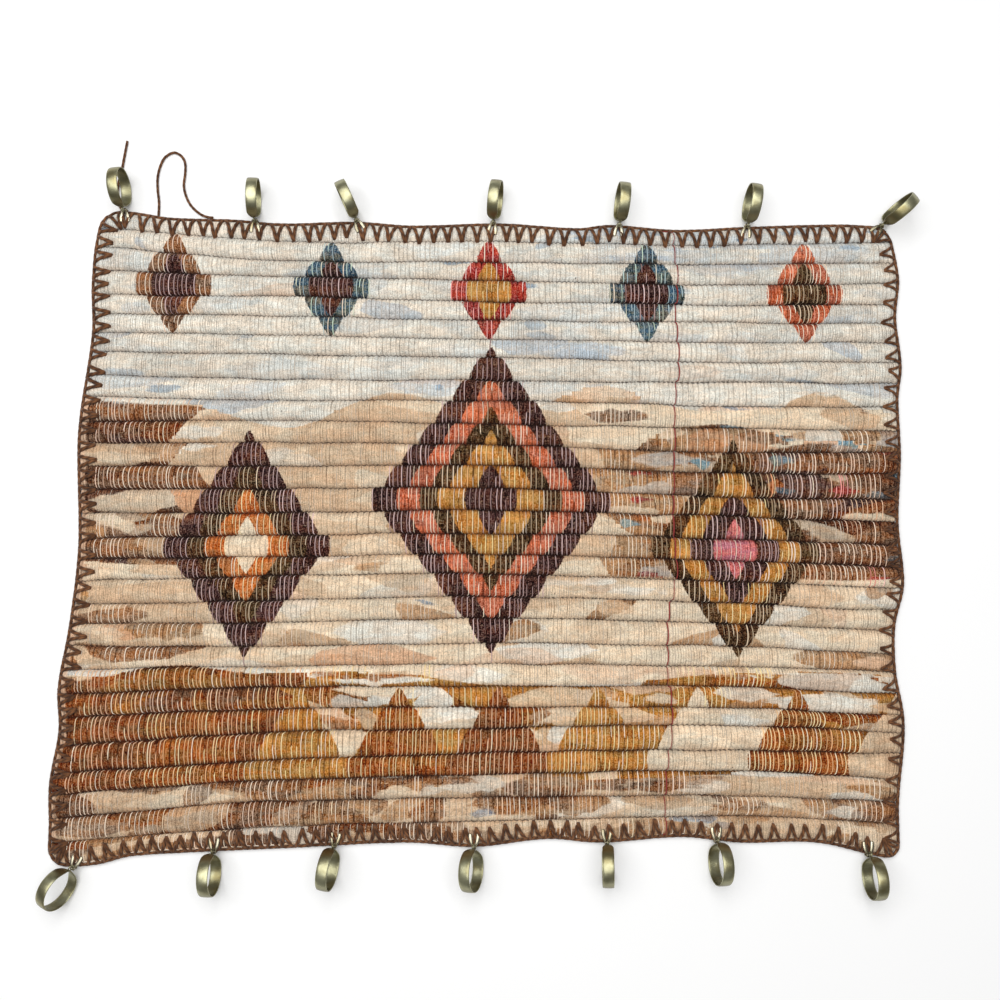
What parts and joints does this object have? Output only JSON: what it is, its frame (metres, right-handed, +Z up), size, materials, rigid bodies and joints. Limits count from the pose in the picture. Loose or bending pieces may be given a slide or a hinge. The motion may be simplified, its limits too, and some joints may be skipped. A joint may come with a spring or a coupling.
{
  "type": "woven wool wall hanging",
  "caption": "Thick ribbed woven wool tapestry lying face up, with a blanket-stitched edge of brown yarn and flat clip rings along its top and bottom edges.",
  "frame": {"origin": "on the surface the tapestry lies on, under the middle of the cloth", "axes": "+X along the ribs to the right, +Y to the top edge, +Z up out of the cloth's face"},
  "size_m": [0.7616, 0.6793, 0.0357],
  "materials": {
    "wool_cloth": "unspun wool weft, heathered and patterned, with fine pale warp threads",
    "brown_yarn": "twisted wool yarn",
    "ring_metal": "brushed, nickel plated and yellowed with age",
    "clip_metal": "bright nickel plate"
  },
  "bodies": {
    "root": {"cloth": "wool_cloth", "edge_yarn_top": "brown_yarn", "edge_yarn_right": "brown_yarn", "edge_yarn_bottom": "brown_yarn", "edge_yarn_left": "brown_yarn", "yarn_loop": "brown_yarn", "yarn_tail": "brown_yarn", "ring_top_1": "ring_metal", "ring_top_2": "ring_metal", "ring_top_3": "ring_metal", "ring_top_4": "ring_metal", "ring_top_5": "ring_metal", "ring_top_6": "ring_metal", "ring_top_7": "ring_metal", "ring_bottom_1": "ring_metal", "ring_bottom_2": "ring_metal", "ring_bottom_3": "ring_metal", "ring_bottom_4": "ring_metal", "ring_bottom_5": "ring_metal", "ring_bottom_6": "ring_metal", "ring_bottom_7": "ring_metal", "clip_top_1": "clip_metal", "clip_top_2": "clip_metal", "clip_top_3": "clip_metal", "clip_top_4": "clip_metal", "clip_top_5": "clip_metal", "clip_top_6": "clip_metal", "clip_top_7": "clip_metal", "clip_bottom_1": "clip_metal", "clip_bottom_2": "clip_metal", "clip_bottom_3": "clip_metal", "clip_bottom_4": "clip_metal", "clip_bottom_5": "clip_metal", "clip_bottom_6": "clip_metal", "clip_bottom_7": "clip_metal"}
  },
  "joints": []
}
